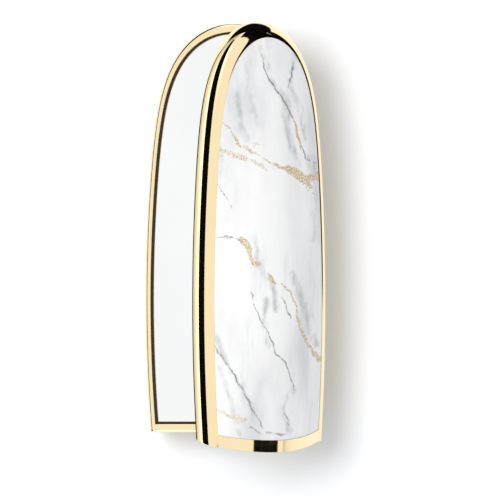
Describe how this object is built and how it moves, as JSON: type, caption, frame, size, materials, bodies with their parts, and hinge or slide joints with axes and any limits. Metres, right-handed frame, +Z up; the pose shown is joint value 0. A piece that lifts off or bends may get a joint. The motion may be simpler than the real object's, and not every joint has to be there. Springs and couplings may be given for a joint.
{
  "type": "lipstick case",
  "caption": "Refillable lipstick case with a flat-backed gold housing, a mirror, and a hinged lid with a domed marble-look plate and an inner mirror.",
  "frame": {"origin": "on the housing's flat back, on its centre line, in the plane of its flat lower end", "axes": "+Y along the length to the rounded tip, +X to the hinge side, +Z up out of the housing mirror"},
  "size_m": [0.0352, 0.0828, 0.0449],
  "materials": {
    "shell_gold": "polished pale gold plating",
    "bezel_gold": "polished pale gold plating",
    "lid_gold": "polished pale gold plating",
    "hinge_gold": "satin gold plating",
    "marble": "glossy white marble look with grey clouds and gold veins",
    "mirror": "silvered glass",
    "moulded_plastic": "fine moulded texture",
    "adhesive": "matte film",
    "steel": "nickel-plated"
  },
  "bodies": {
    "housing": {"rear_shell": "shell_gold", "mirror_carrier": "moulded_plastic", "mirror_bezel": "bezel_gold", "fixed_mirror": "mirror", "fixed_mirror_tape": "adhesive", "refill_sleeve": "moulded_plastic", "mouth_collar": "bezel_gold", "sleeve_end_cap": "moulded_plastic", "refill_magnet": "steel", "carrier_screws": "steel", "latch_magnets": "steel", "rear_hinge_leaf": "hinge_gold", "rear_hinge_rivets": "steel", "hinge_pin": "steel", "hinge_washers": "moulded_plastic"},
    "lid": {"lid_frame": "lid_gold", "marble_plate": "marble", "plate_adhesive": "adhesive", "lid_core": "moulded_plastic", "lid_mirror_bezel": "bezel_gold", "lid_mirror": "mirror", "lid_mirror_tape": "adhesive", "latch_keepers": "steel", "lid_hinge_leaf": "hinge_gold", "lid_hinge_rivets": "steel"}
  },
  "joints": [
    {"name": "lid_hinge", "type": "hinge", "parent": "housing", "child": "lid", "pos_m": [0.0171, 0.0266, 0.0201], "axis": [0, 1, 0], "range_deg": [-43.6, 91.4]}
  ]
}
